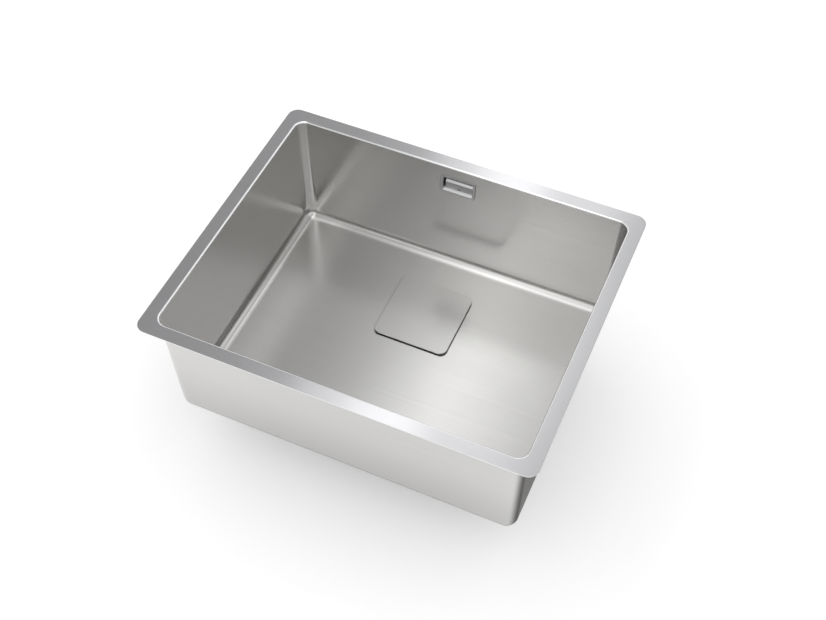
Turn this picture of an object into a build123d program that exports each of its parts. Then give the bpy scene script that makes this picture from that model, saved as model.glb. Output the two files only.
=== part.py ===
from build123d import *
import math
import os

# An undermount kitchen sink: a pressed stainless bowl, its basket strainer waste with a square
# cover, and an overflow in the back wall that drains through a rigid pipe into the waste.
# Millimetres. The origin is the centre of the rim's top face, +X runs along the sink,
# +Y points to the overflow wall and +Z points up.

# Bowl
SHEET = 1.0               # stainless sheet
OPENING_LENGTH = 500.0    # clear opening at the rim face
OPENING_WIDTH = 400.0
RIM_FLAT = 20.0           # from the opening to the rim's outer edge
RIM_CORNER_R = 15.0
BOWL_CORNER_R = 15.0      # upright corners, inside
BOWL_DEPTH = 190.0        # rim face to floor
WALL_DRAFT = 1.45         # degrees that each wall leans outwards
FLOOR_R = 14.0            # floor to wall, inside
LIP_R = 2.5               # bend from rim to wall, seen from above

# Drain pocket in the floor, and the hole in it
DRAIN_Y = 80.0
DRAIN_HOLE_R = 45.0
POCKET_LEDGE = 9.0        # flat ring round the hole
POCKET_FLARE = 2.0        # how far the pocket widens up to the floor
POCKET_DEPTH = 5.0
POCKET_BEND_R = 1.5       # inside radius of the pocket's lower bend

# Sound pads stuck under the floor
PAD_T = 2.0
PAD_MARGIN = 24.0         # from the bowl's floor edge
PAD_GAP = 12.0            # between pads, and from a pad to the waste
PAD_CORNER_R = 8.0

# Strainer cup
CUP_SHEET = 0.8
CUP_SEAL_T = 1.0
CUP_HOLE_GAP = 1.7        # cup to drain hole
CUP_FLANGE_GAP = 0.5      # flange to the pocket's bend
CUP_DEPTH = 37.0          # flange top to the cup's floor
CUP_DRAFT = 2.0           # how much narrower the cup is at its floor
CUP_MOUTH_BEND_R = 1.5
CUP_FLOOR_BEND_R = 5.0
CUP_HUB_R = 12.0          # solid middle of the strainer floor
CUP_SLOT_OUTER_R = 26.0
CUP_SPOKE_WIDTH = 5.0
CUP_SPOKE_PAIRS = 3

# Centre screw, M6
SCREW_R = 3.0
SCREW_HEAD_R = 6.0
SCREW_HEAD_T = 2.2
SCREW_LENGTH = 17.0
SCREW_SLOT_WIDTH = 1.2
SCREW_SLOT_DEPTH = 1.0
SCREW_HOLE_GAP = 0.3
THREAD_GAP = 0.05

# Basket with its stopper
BASKET_SHEET = 0.8
BASKET_HEIGHT = 22.0
BASKET_RIM_GAP = 0.9      # basket rim to the cup's wall
BASKET_RIM_FLAT = 2.8
BASKET_TAPER = 4.5
BASKET_RIM_BEND_R = 1.0
BASKET_FLOOR_BEND_R = 4.0
BASKET_SLOTS = 20
BASKET_SLOT_LENGTH = 10.0
BASKET_SLOT_WIDTH = 3.0
BASKET_HOLE_R = 2.0
BASKET_HOLE_ROWS = 3
BASKET_HOLE_PITCH = 7.6
SEAL_LIP_R = 31.0
SEAL_LIP_WIDTH = 4.0
SEAL_LIP_HEIGHT = 6.4
SEAL_T = 2.0              # web of the stopper
SEAT_GAP = 0.2            # a resting piece and its seat
SPACER_R = 6.0
SPACER_T = 3.0
POST_R = 2.5
POST_HEAD_R = 9.0
POST_HEAD_T = 1.2
WASHER_R = 8.0
WASHER_T = 1.0
NUT_ACROSS_CORNERS_R = 4.6
NUT_T = 4.0
KNOB_R = 7.0
KNOB_NECK_R = 4.2
KNOB_WAIST_R = 4.5
KNOB_WAIST_RISE = 4.8
KNOB_HEIGHT = 13.0
KNOB_RIM_HEIGHT = 5.0
KNOB_EDGE_R = 1.5

# Drain cover and its carrier
COVER_SIDE = 114.0
COVER_CORNER_R = 11.0
COVER_T = 2.0
COVER_EDGE_R = 0.5
COVER_GAP = 2.5           # floor to the cover's underside
CARRIER_T = 2.0
CARRIER_OUTER_R = 49.5
CARRIER_INNER_R = 31.0
CARRIER_FOOT_WIDTH = 4.0
CARRIER_LUG_GAP = 0.9
CARRIER_LUG_T = 1.8
CARRIER_LUG_DEPTH = 3.6
CARRIER_SUPPORTS = 4
CARRIER_SUPPORT_ANGLE = 24.0

# Waste body below the sink
BODY_SEAL_T = 3.0
BODY_SEAL_WIDTH = 7.5
BODY_SEAL_EDGE_R = 0.8
BODY_FLANGE_EXTRA = 3.0   # flange beyond the pocket
BODY_FLANGE_T = 5.0
BODY_WALL = 3.0
BODY_ANNULUS = 4.7        # cup to the body's wall
BODY_BELOW_CUP = 6.6
BODY_SHOULDER_R = 4.0
FUNNEL_DROP = 14.0
OUTLET_R = 23.9           # G 1 1/2 male thread
OUTLET_BORE_R = 20.0
OUTLET_LENGTH = 24.0
OUTLET_CHAMFER = 1.0
BOSS_R = 8.5
BOSS_LENGTH = 19.0
SPIDER_T = 3.0
SPIDER_HEIGHT = 9.0
SPIDER_RIBS = 3
INSERT_R = 5.0
INSERT_LENGTH = 14.0
INSERT_FLANGE_T = 1.5
BODY_RIBS = 8
BODY_RIB_T = 3.0
BODY_RIB_HEIGHT = 16.0

# Overflow pipe and its two slip joints
PIPE_R = 12.5
PIPE_WALL = 2.0
PIPE_BEND_R = 40.0
PIPE_SETBACK = 23.0       # from the opening's back edge to the pipe's axis
PIPE_FIT = 0.2
SPIGOT_WALL = 3.8
SPIGOT_LENGTH = 19.0
SOCKET_DEPTH = 17.0       # how far the pipe goes into either spigot
PORT_DROP = 28.0          # from the pocket's underside to the side port's axis
PORT_LENGTH = 26.0
CONE_LENGTH = 5.0
CONE_TAPER = 2.0
SLIP_NUT_WALL = 3.4
SLIP_NUT_GRIP = 15.0
SLIP_NUT_LIP = 2.5
SLIP_NUT_RIBS = 10
SLIP_NUT_RIB_R = 1.4

# Overflow fittings, set square to the leaning back wall
OVERFLOW_DROP = 33.0      # rim face to the middle of the opening
FRAME_LENGTH = 54.0
FRAME_HEIGHT = 30.0
FRAME_STILE = 4.0         # the band's width at its ends
FRAME_RAIL = 2.2          # and along its long sides
FRAME_PROUD = 1.0
FRAME_CORNER_R = 3.0
FRAME_EDGE_R = 0.4
FRAME_BED = 0.1           # sealant between the band and the wall
SLEEVE_WALL = 1.0
SLEEVE_DEPTH = 13.0
SLEEVE_CORNER_R = 1.5
SLOT_GAP = 0.5
WEB_T = 1.0
FIXING_LAND = 10.0        # web left beside the window for each fixing
FIXING_DROP = 6.0         # below the frame's middle, behind the plate
WINDOW_HEIGHT = 17.0
FIXING_R = 2.0            # M4
FIXING_HEAD_R = 3.8
FIXING_HEAD_T = 2.2
FIXING_LENGTH = 10.0
FIXING_CROSS_LENGTH = 4.0
FIXING_CROSS_WIDTH = 0.8
PLATE_T = 1.2
PLATE_SETBACK = 5.0
PLATE_SIDE_GAP = 2.4
PLATE_TOP_GAP = 11.4
PLATE_BEVEL = 2.8
PLATE_BEND_R = 1.0
PLATE_NOTCH_R = 3.0
LEG_T = 1.2
LEG_HEIGHT = 6.0
LEG_DROP = 4.0            # below the frame's middle
LEG_REACH = 3.0           # beyond the web
LEG_GAP = 0.2
GASKET_T = 2.0
GASKET_WIDTH = 6.0
HOUSING_FLANGE_T = 3.0
HOUSING_WALL = 2.5
HOUSING_TOP_DEPTH = 24.0
HOUSING_SLOPE = 23.5
HOUSING_EDGE_R = 2.0
HOUSING_BOSS_R = 4.2

# Levels and radii that follow from the sizes above
FLOOR_Z = -BOWL_DEPTH
UNDERSIDE_Z = FLOOR_Z - SHEET
POCKET_Z = FLOOR_Z - POCKET_DEPTH
POCKET_UNDER_Z = POCKET_Z - SHEET
POCKET_R = DRAIN_HOLE_R + POCKET_LEDGE
CUP_OUTER_R = DRAIN_HOLE_R - CUP_HOLE_GAP
CUP_MOUTH_R = CUP_OUTER_R - CUP_SHEET
CUP_FLANGE_R = POCKET_R - POCKET_BEND_R - CUP_FLANGE_GAP
CUP_FLANGE_Z = POCKET_Z + CUP_SEAL_T + CUP_SHEET
CUP_FLOOR_Z = CUP_FLANGE_Z - CUP_DEPTH
CUP_UNDER_Z = CUP_FLOOR_Z - CUP_SHEET
STOPPER_TOP_Z = CUP_FLOOR_Z + SEAT_GAP + SEAL_LIP_HEIGHT
STOPPER_WEB_Z = STOPPER_TOP_Z - SEAL_T
BASKET_UNDER_Z = STOPPER_TOP_Z + SPACER_T
BASKET_FLOOR_Z = BASKET_UNDER_Z + BASKET_SHEET
BASKET_RIM_R = CUP_MOUTH_R - BASKET_RIM_GAP
BASKET_WALL_R = BASKET_RIM_R - BASKET_RIM_FLAT
BASKET_FLOOR_R = BASKET_WALL_R - BASKET_TAPER
KNOB_Z = BASKET_FLOOR_Z + WASHER_T + NUT_T
POST_HOLE_R = POST_R + THREAD_GAP
COVER_Z = FLOOR_Z + COVER_GAP
BODY_TOP_Z = POCKET_UNDER_Z - BODY_SEAL_T
BODY_BORE_R = CUP_OUTER_R + BODY_ANNULUS
BODY_OUTER_R = BODY_BORE_R + BODY_WALL
BODY_FLANGE_R = POCKET_R + BODY_FLANGE_EXTRA
BODY_FLANGE_Z = BODY_TOP_Z - BODY_FLANGE_T
FUNNEL_Z = CUP_UNDER_Z - BODY_BELOW_CUP
OUTLET_Z = FUNNEL_Z - FUNNEL_DROP
OUTLET_END_Z = OUTLET_Z - OUTLET_LENGTH
PORT_Z = POCKET_UNDER_Z - PORT_DROP
PIPE_Y = OPENING_WIDTH / 2 + PIPE_SETBACK
SPIGOT_R = PIPE_R + PIPE_FIT + SPIGOT_WALL
WELL_LENGTH = FRAME_LENGTH - 2 * FRAME_STILE
WELL_HEIGHT = FRAME_HEIGHT - 2 * FRAME_RAIL
WINDOW_LENGTH = WELL_LENGTH - 2 * FIXING_LAND
FIXING_SPACING = WELL_LENGTH - FIXING_LAND
SLEEVE_LENGTH = WELL_LENGTH + 2 * SLEEVE_WALL
SLEEVE_HEIGHT = WELL_HEIGHT + 2 * SLEEVE_WALL
SLOT_LENGTH = SLEEVE_LENGTH + 2 * SLOT_GAP
SLOT_HEIGHT = SLEEVE_HEIGHT + 2 * SLOT_GAP
SLOT_CORNER_R = SLEEVE_CORNER_R + SLEEVE_WALL + SLOT_GAP
WEB_Y = SLEEVE_DEPTH - WEB_T
GASKET_LENGTH = SLOT_LENGTH + 2 * GASKET_WIDTH
GASKET_HEIGHT = SLOT_HEIGHT + 2 * GASKET_WIDTH
HOUSING_FRONT = SHEET + GASKET_T
HOUSING_TOP = SLOT_HEIGHT / 2 + HOUSING_WALL
HOUSING_FOOT = GASKET_HEIGHT / 2
SPIGOT_END_Z = -OVERFLOW_DROP - HOUSING_FOOT - SPIGOT_LENGTH

# Alignments: standing on its place, or hanging from it
STANDING = (Align.CENTER, Align.CENTER, Align.MIN)
HANGING = (Align.CENTER, Align.CENTER, Align.MAX)


def wall_inset(depth):
    """How far a leaning wall has come in at a depth below the rim face."""
    return depth * math.tan(math.radians(WALL_DRAFT))


# Places. Waste pieces are made round the z axis and moved to the drain. Overflow pieces are made
# upright, with y running back through the wall, and leaned with it. A slip joint is made with
# its spigot's mouth at the origin and its pipe leaving downwards.
OVERFLOW_Y = OPENING_WIDTH / 2 - wall_inset(OVERFLOW_DROP)
AT_DRAIN = Pos(0, DRAIN_Y, 0)
ON_BACK_WALL = Pos(0, OVERFLOW_Y, -OVERFLOW_DROP) * Rot(-WALL_DRAFT, 0, 0)
PORT_ON_BODY = Pos(0, BODY_OUTER_R + PORT_LENGTH, PORT_Z) * Rot(90, 0, 0)
AT_PORT = AT_DRAIN * PORT_ON_BODY
AT_HOUSING = Pos(0, PIPE_Y, SPIGOT_END_Z)


def at_height(z):
    """A place on the z axis."""
    return Pos(0, 0, z)


def slab(outline, y_from, y_to):
    """An outline in x and z, given thickness from one depth behind the wall's face to another."""
    return extrude(Plane.XZ.offset(-y_from) * outline, y_from - y_to)


def turned(points):
    """A solid turned about the z axis from a closed outline of (radius, height) points."""
    return revolve(Plane.XZ * make_face(Polyline(*points, close=True)), Axis.Z)


def turned_sheet(points, bend_radii, thickness):
    """Sheet metal turned about the z axis, from its middle line in (radius, height)."""
    line = FilletPolyline(*points, radius=bend_radii)
    return revolve(Plane.XZ * trace(line, thickness), Axis.Z)


def ring(inner_r, outer_r, z_low, z_high):
    """A plain ring between two heights."""
    return turned([(inner_r, z_low), (outer_r, z_low), (outer_r, z_high), (inner_r, z_high)])


def edges_at(shape, z):
    """The edges that lie flat at one height."""
    return shape.edges().filter_by_position(Axis.Z, z, z)


# ---- Bowl ----


def bowl_block(growth, depth):
    """The bowl's drafted form, grown all round, from the rim face down to a depth."""
    reach_x = OPENING_LENGTH / 2 + growth
    reach_y = OPENING_WIDTH / 2 + growth
    block = Box(2 * reach_x, 2 * reach_y, depth, align=HANGING)
    for turn, reach in ((0, reach_x), (90, reach_y), (180, reach_x), (270, reach_y)):
        wall = Rot(0, 0, turn) * Pos(reach, 0, 0) * Rot(0, 90 + WALL_DRAFT, 0)
        block = split(block, Plane(wall), Keep.BOTTOM)
    corners = [edge for edge in block.edges() if abs(edge.center().Z + depth / 2) < SHEET / 2]
    block = fillet(corners, BOWL_CORNER_R + growth)
    return fillet(edges_at(block, -depth), FLOOR_R + growth)


def rim_plate():
    """The flat rim, still without its opening."""
    length = OPENING_LENGTH + 2 * RIM_FLAT
    width = OPENING_WIDTH + 2 * RIM_FLAT
    return extrude(RectangleRounded(length, width, RIM_CORNER_R), -SHEET)


def opening_edges(shape, z):
    """The edges at one height that run round the bowl's opening, not round the rim."""
    half_length = (OPENING_LENGTH + RIM_FLAT) / 2
    half_width = (OPENING_WIDTH + RIM_FLAT) / 2
    return [
        edge
        for edge in edges_at(shape, z)
        if abs(edge.center().X) < half_length and abs(edge.center().Y) < half_width
    ]


def pocket_block(growth, z_top, z_low):
    """The drain pocket's tapered form, grown all round."""
    foot_r = POCKET_R + growth
    brim_r = foot_r + POCKET_FLARE
    return AT_DRAIN * turned([(0, z_low), (foot_r, z_low), (brim_r, z_top), (0, z_top)])


def bowl():
    """The pressed bowl: rim, bent lip, drafted walls, floor, drain pocket and overflow slot."""
    shell = bowl_block(SHEET, BOWL_DEPTH + SHEET) + rim_plate()
    shell = fillet(opening_edges(shell, -SHEET), LIP_R - SHEET)
    shell += pocket_block(SHEET, UNDERSIDE_Z, POCKET_UNDER_Z)
    shell = fillet(edges_at(shell, POCKET_UNDER_Z), POCKET_BEND_R + SHEET)
    shell -= bowl_block(0, BOWL_DEPTH)
    shell = fillet(opening_edges(shell, 0), LIP_R)
    shell -= pocket_block(0, FLOOR_Z, POCKET_Z)
    shell = fillet(edges_at(shell, POCKET_Z), POCKET_BEND_R)
    pocket_brim = edges_at(shell, FLOOR_Z).filter_by(GeomType.CIRCLE).sort_by(SortBy.RADIUS)[-1]
    shell = fillet(pocket_brim, POCKET_BEND_R + SHEET)
    shell -= AT_DRAIN * at_height(POCKET_Z) * Cylinder(DRAIN_HOLE_R, 4 * SHEET)
    slot = RectangleRounded(SLOT_LENGTH, SLOT_HEIGHT, SLOT_CORNER_R)
    return shell - ON_BACK_WALL * slab(slot, -SHEET, 3 * SHEET)


def sound_pads():
    """Three rubber mats stuck under the floor, one in front of the waste and one at each side."""
    half_length = OPENING_LENGTH / 2 - wall_inset(BOWL_DEPTH) - PAD_MARGIN
    half_width = OPENING_WIDTH / 2 - wall_inset(BOWL_DEPTH) - PAD_MARGIN
    waste_r = BODY_FLANGE_R + PAD_GAP
    front_y = DRAIN_Y - waste_r
    side_length = half_length - waste_r
    side_width = half_width - front_y - PAD_GAP
    front = RectangleRounded(2 * half_length, front_y + half_width, PAD_CORNER_R)
    side = RectangleRounded(side_length, side_width, PAD_CORNER_R)
    side_x = half_length - side_length / 2
    side_y = half_width - side_width / 2
    mats = [Pos(0, (front_y - half_width) / 2) * front]
    mats += [Pos(sign * side_x, side_y) * side for sign in (-1, 1)]
    return Compound(children=[extrude(at_height(UNDERSIDE_Z) * mat, -PAD_T) for mat in mats])


# ---- Strainer cup, its seals and the centre screw ----


def waste_cup():
    """The stainless strainer cup: flange in the pocket, drawn wall, floor with spokes."""
    middle = CUP_SHEET / 2
    cup = turned_sheet(
        [
            (CUP_FLANGE_R, CUP_FLANGE_Z - middle),
            (CUP_MOUTH_R + middle, CUP_FLANGE_Z - middle),
            (CUP_MOUTH_R + middle - CUP_DRAFT, CUP_FLOOR_Z - middle),
            (SCREW_R + SCREW_HOLE_GAP, CUP_FLOOR_Z - middle),
        ],
        [CUP_MOUTH_BEND_R, CUP_FLOOR_BEND_R],
        CUP_SHEET,
    )
    slots = ring(CUP_HUB_R, CUP_SLOT_OUTER_R, CUP_UNDER_Z - CUP_SHEET, CUP_FLOOR_Z + CUP_SHEET)
    spokes = Box(2 * DRAIN_HOLE_R, CUP_SPOKE_WIDTH, 6 * CUP_SHEET)
    for index in range(CUP_SPOKE_PAIRS):
        slots -= at_height(CUP_FLOOR_Z) * Rot(0, 0, index * 180 / CUP_SPOKE_PAIRS) * spokes
    return AT_DRAIN * (cup - slots)


def cup_seal():
    """Foam ring between the cup's flange and the pocket."""
    return AT_DRAIN * ring(DRAIN_HOLE_R, CUP_FLANGE_R, POCKET_Z, POCKET_Z + CUP_SEAL_T)


def body_seal():
    """Rubber ring between the sink's underside and the waste body, its outer edges rounded."""
    seal = ring(DRAIN_HOLE_R, DRAIN_HOLE_R + BODY_SEAL_WIDTH, BODY_TOP_Z, POCKET_UNDER_Z)
    outer_edges = seal.edges().filter_by(GeomType.CIRCLE).sort_by(SortBy.RADIUS)[-2:]
    return AT_DRAIN * fillet(outer_edges, BODY_SEAL_EDGE_R)


def valve_screw():
    """The slotted screw that pulls the cup and the waste body together."""
    head = Cylinder(SCREW_HEAD_R, SCREW_HEAD_T, align=STANDING)
    head = fillet(edges_at(head, SCREW_HEAD_T), SCREW_HEAD_T / 3)
    head -= at_height(SCREW_HEAD_T) * Box(2 * SCREW_HEAD_R, SCREW_SLOT_WIDTH, 2 * SCREW_SLOT_DEPTH)
    shank = Cylinder(SCREW_R, SCREW_LENGTH, align=HANGING)
    shank = chamfer(edges_at(shank, -SCREW_LENGTH), SCREW_R / 4)
    return AT_DRAIN * at_height(CUP_FLOOR_Z) * (head + shank)


# ---- Waste body ----


def insert_outline():
    """The brass nut's turned section: a flange under the cup and a plain barrel."""
    bore_r = SCREW_R + THREAD_GAP
    flange_r = INSERT_R + INSERT_FLANGE_T
    flange_z = CUP_UNDER_Z - INSERT_FLANGE_T
    foot_z = CUP_UNDER_Z - INSERT_LENGTH
    return [
        (bore_r, CUP_UNDER_Z),
        (flange_r, CUP_UNDER_Z),
        (flange_r, flange_z),
        (INSERT_R, flange_z),
        (INSERT_R, foot_z),
        (bore_r, foot_z),
    ]


def body_insert():
    """The brass nut moulded into the waste body's boss."""
    return AT_DRAIN * turned(insert_outline())


def bell_block():
    """The waste body's outside: flange, wall, funnel and outlet, still solid."""
    bell = turned(
        [
            (0, BODY_TOP_Z),
            (BODY_FLANGE_R, BODY_TOP_Z),
            (BODY_FLANGE_R, BODY_FLANGE_Z),
            (BODY_OUTER_R, BODY_FLANGE_Z),
            (BODY_OUTER_R, FUNNEL_Z),
            (OUTLET_R, OUTLET_Z),
            (OUTLET_R, OUTLET_END_Z),
            (0, OUTLET_END_Z),
        ]
    )
    bell = fillet(edges_at(bell, FUNNEL_Z), BODY_SHOULDER_R)
    return chamfer(edges_at(bell, OUTLET_END_Z), OUTLET_CHAMFER)


def bell_cavity():
    """What the bell holds free: the room round the cup, the funnel and the outlet's bore."""
    return turned(
        [
            (0, BODY_TOP_Z),
            (BODY_BORE_R, BODY_TOP_Z),
            (BODY_BORE_R, FUNNEL_Z),
            (OUTLET_BORE_R, OUTLET_Z),
            (OUTLET_BORE_R, OUTLET_END_Z),
            (0, OUTLET_END_Z),
        ]
    )


def stiffening_rib():
    """One upright rib between the bell's wall and its flange."""
    inside = -BODY_WALL / 2
    outline = Polyline(
        (inside, 0),
        (BODY_FLANGE_R - BODY_OUTER_R, 0),
        (0, -BODY_RIB_HEIGHT),
        (inside, -BODY_RIB_HEIGHT),
        close=True,
    )
    rib = extrude(Plane.XZ * make_face(outline), BODY_RIB_T / 2, both=True)
    return Pos(BODY_OUTER_R, 0, BODY_FLANGE_Z) * rib


def centre_boss(envelope):
    """The boss for the brass nut, held in the bell by ribs that run into its wall."""
    boss = at_height(CUP_UNDER_Z) * Cylinder(BOSS_R, BOSS_LENGTH, align=HANGING)
    rib_centre = Pos(BODY_OUTER_R / 2, 0, FUNNEL_Z)
    rib = rib_centre * Box(BODY_OUTER_R, SPIDER_T, SPIDER_HEIGHT, align=HANGING)
    for index in range(SPIDER_RIBS):
        boss += (Rot(0, 0, 90 + index * 360 / SPIDER_RIBS) * rib) & envelope
    boss -= turned(insert_outline())
    return boss - at_height(CUP_UNDER_Z) * Cylinder(SCREW_R + THREAD_GAP, 3 * BOSS_LENGTH)


def pipe_socket(reach):
    """What hollows a spigot: the pipe's socket from the mouth, then the bore past its stop."""
    socket = Cylinder(PIPE_R + PIPE_FIT, SOCKET_DEPTH, align=STANDING)
    return socket + Cylinder(PIPE_R - PIPE_WALL, reach, align=STANDING)


def waste_body():
    """The moulded bell below the sink, with stiffening ribs, side port and threaded outlet."""
    bell = bell_block()
    boss = centre_boss(bell)
    for index in range(BODY_RIBS):
        bell += Rot(0, 0, (index + 0.5) * 360 / BODY_RIBS) * stiffening_rib()
    bell += PORT_ON_BODY * Cylinder(SPIGOT_R, PORT_LENGTH + BODY_BORE_R / 2, align=STANDING)
    bell -= bell_cavity() - boss
    bell -= PORT_ON_BODY * pipe_socket(PORT_LENGTH + BODY_BORE_R / 2)
    return AT_DRAIN * bell


# ---- Basket, stopper and grip ----


def strainer_basket():
    """The drawn basket, with rings of round holes in its floor and slots round its wall."""
    middle = BASKET_SHEET / 2
    rim_z = BASKET_FLOOR_Z + BASKET_HEIGHT
    basket = turned_sheet(
        [
            (BASKET_RIM_R, rim_z - middle),
            (BASKET_WALL_R, rim_z - middle),
            (BASKET_FLOOR_R, BASKET_FLOOR_Z - middle),
            (POST_HOLE_R, BASKET_FLOOR_Z - middle),
        ],
        [BASKET_RIM_BEND_R, BASKET_FLOOR_BEND_R],
        BASKET_SHEET,
    )
    hole = Cylinder(BASKET_HOLE_R, 4 * BASKET_SHEET)
    outer_row_r = BASKET_FLOOR_R - BASKET_FLOOR_BEND_R - BASKET_HOLE_R
    for row in range(BASKET_HOLE_ROWS):
        row_r = outer_row_r - row * BASKET_HOLE_PITCH
        count = int(2 * math.pi * row_r / BASKET_HOLE_PITCH)
        spots = PolarLocations(row_r, count, start_angle=90)
        basket -= [at_height(BASKET_FLOOR_Z) * spot * hole for spot in spots]
    slot = extrude(Plane.YZ * SlotOverall(BASKET_SLOT_LENGTH, BASKET_SLOT_WIDTH, 90), BASKET_RIM_R)
    slot_z = BASKET_FLOOR_Z + BASKET_HEIGHT / 2
    basket -= [at_height(slot_z) * spot * slot for spot in PolarLocations(0, BASKET_SLOTS)]
    return AT_DRAIN * basket


def basket_seal():
    """The rubber stopper under the basket: a web over the screw's head and a lip on the cup."""
    lip_z = CUP_FLOOR_Z + SEAT_GAP
    skirt_r = SEAL_LIP_R - SEAL_LIP_WIDTH
    return AT_DRAIN * turned(
        [
            (POST_HOLE_R, STOPPER_WEB_Z),
            (skirt_r, STOPPER_WEB_Z),
            (SEAL_LIP_R - SEAL_LIP_WIDTH / 2, lip_z),
            (SEAL_LIP_R, lip_z),
            (SEAL_LIP_R - SEAL_T / 2, STOPPER_TOP_Z),
            (POST_HOLE_R, STOPPER_TOP_Z),
        ]
    )


def stopper_spacer():
    """The short sleeve that keeps the stopper clear of the basket's holes."""
    return AT_DRAIN * ring(POST_HOLE_R, SPACER_R, STOPPER_TOP_Z, BASKET_UNDER_Z)


def basket_post():
    """The turned stem through stopper, basket and grip, with its head below the stopper."""
    stem_top = KNOB_Z + KNOB_HEIGHT - KNOB_RIM_HEIGHT
    head = at_height(STOPPER_WEB_Z) * Cylinder(POST_HEAD_R, POST_HEAD_T, align=HANGING)
    stem = at_height(STOPPER_WEB_Z) * Cylinder(POST_R, stem_top - STOPPER_WEB_Z, align=STANDING)
    return AT_DRAIN * (head + stem)


def seal_washer():
    """The flat washer on the basket's floor, under the nut."""
    return AT_DRAIN * ring(POST_HOLE_R, WASHER_R, BASKET_FLOOR_Z, BASKET_FLOOR_Z + WASHER_T)


def post_nut():
    """The hexagonal nut that holds basket and stopper on the stem."""
    nut = extrude(RegularPolygon(NUT_ACROSS_CORNERS_R, 6), NUT_T)
    nut -= Cylinder(POST_HOLE_R, 4 * NUT_T)
    return AT_DRAIN * at_height(BASKET_FLOOR_Z + WASHER_T) * nut


def basket_knob():
    """The turned finger grip on the stem's end, with a waisted neck."""
    shoulder = KNOB_HEIGHT - KNOB_RIM_HEIGHT
    waist = ThreePointArc((KNOB_NECK_R, 0), (KNOB_WAIST_R, KNOB_WAIST_RISE), (KNOB_R, shoulder))
    rest = Polyline((KNOB_R, shoulder), (KNOB_R, KNOB_HEIGHT), (0, KNOB_HEIGHT), (0, 0), (KNOB_NECK_R, 0))
    knob = revolve(Plane.XZ * make_face(waist + rest), Axis.Z)
    knob = fillet(edges_at(knob, KNOB_HEIGHT), KNOB_EDGE_R)
    knob -= Cylinder(POST_HOLE_R, 2 * (shoulder + THREAD_GAP))
    return AT_DRAIN * at_height(KNOB_Z) * knob


# ---- Drain cover ----


def drain_cover():
    """The square cover plate, its upper edge just broken."""
    plate = extrude(RectangleRounded(COVER_SIDE, COVER_SIDE, COVER_CORNER_R), COVER_T)
    return AT_DRAIN * at_height(COVER_Z) * fillet(edges_at(plate, COVER_T), COVER_EDGE_R)


def support(inner_r, outer_r, z_low, z_high):
    """One foot or lug of the carrier: a short arc of a ring."""
    corners = [(inner_r, z_low), (outer_r, z_low), (outer_r, z_high), (inner_r, z_high)]
    section = Plane.XZ * make_face(Polyline(*corners, close=True))
    return revolve(section, Axis.Z, CARRIER_SUPPORT_ANGLE)


def cover_carrier():
    """The moulded ring under the cover, with feet on the cup's flange and lugs in its mouth."""
    ring_z = COVER_Z - CARRIER_T
    foot_r = CARRIER_OUTER_R - CARRIER_FOOT_WIDTH
    lug_r = CUP_MOUTH_R - CARRIER_LUG_GAP
    lug_z = CUP_FLANGE_Z - CARRIER_LUG_DEPTH
    carrier = ring(CARRIER_INNER_R, CARRIER_OUTER_R, ring_z, COVER_Z)
    feet_and_lug = support(foot_r, CARRIER_OUTER_R, CUP_FLANGE_Z + SEAT_GAP, ring_z)
    feet_and_lug += support(lug_r - CARRIER_LUG_T, lug_r, lug_z, ring_z)
    for index in range(CARRIER_SUPPORTS):
        carrier += Rot(0, 0, (index + 0.5) * 360 / CARRIER_SUPPORTS) * feet_and_lug
    return AT_DRAIN * carrier


# ---- Overflow in the back wall ----


def fixing_places(y):
    """The two screw positions, left and right of the window, axes running back."""
    half = FIXING_SPACING / 2
    return [Pos(sign * half, y, -FIXING_DROP) * Rot(90, 0, 0) for sign in (-1, 1)]


def overflow_frame():
    """The chromed frame: a band on the wall, a sleeve through it and a web behind."""
    outline = RectangleRounded(FRAME_LENGTH, FRAME_HEIGHT, FRAME_CORNER_R)
    band = slab(outline, -FRAME_PROUD, -FRAME_BED)
    band = fillet(band.edges().filter_by_position(Axis.Y, -FRAME_PROUD, -FRAME_PROUD), FRAME_EDGE_R)
    sleeve = RectangleRounded(SLEEVE_LENGTH, SLEEVE_HEIGHT, SLEEVE_CORNER_R + SLEEVE_WALL)
    frame = band + slab(sleeve, -FRAME_BED, SLEEVE_DEPTH)
    well = RectangleRounded(WELL_LENGTH, WELL_HEIGHT, SLEEVE_CORNER_R)
    frame -= slab(well, -FRAME_PROUD, WEB_Y)
    window = RectangleRounded(WINDOW_LENGTH, WINDOW_HEIGHT, SLEEVE_CORNER_R)
    frame -= slab(window, 0, SLEEVE_DEPTH)
    hole = Cylinder(FIXING_R + SCREW_HOLE_GAP, 4 * WEB_T)
    return ON_BACK_WALL * (frame - [place * hole for place in fixing_places(WEB_Y)])


def overflow_plate():
    """The pull-off baffle: a bent plate with a notch at its foot and two spring legs."""
    foot = -WELL_HEIGHT / 2 + SEAT_GAP
    top = WELL_HEIGHT / 2 - PLATE_TOP_GAP
    middle = PLATE_SETBACK + PLATE_T / 2
    length = WELL_LENGTH - 2 * PLATE_SIDE_GAP
    line = FilletPolyline(
        (middle, foot),
        (middle, top - PLATE_BEVEL),
        (middle + PLATE_BEVEL, top),
        radius=PLATE_BEND_R,
    )
    plate = extrude(Plane.YZ * trace(line, PLATE_T), length / 2, both=True)
    plate -= Pos(0, middle, foot) * Rot(90, 0, 0) * Cylinder(PLATE_NOTCH_R, 4 * PLATE_T)
    leg_x = WINDOW_LENGTH / 2 - LEG_GAP - LEG_T / 2
    leg_length = SLEEVE_DEPTH + LEG_REACH - middle
    leg = Box(LEG_T, leg_length, LEG_HEIGHT)
    for sign in (-1, 1):
        plate += Pos(sign * leg_x, middle + leg_length / 2, -LEG_DROP) * leg
    return ON_BACK_WALL * plate


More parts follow.
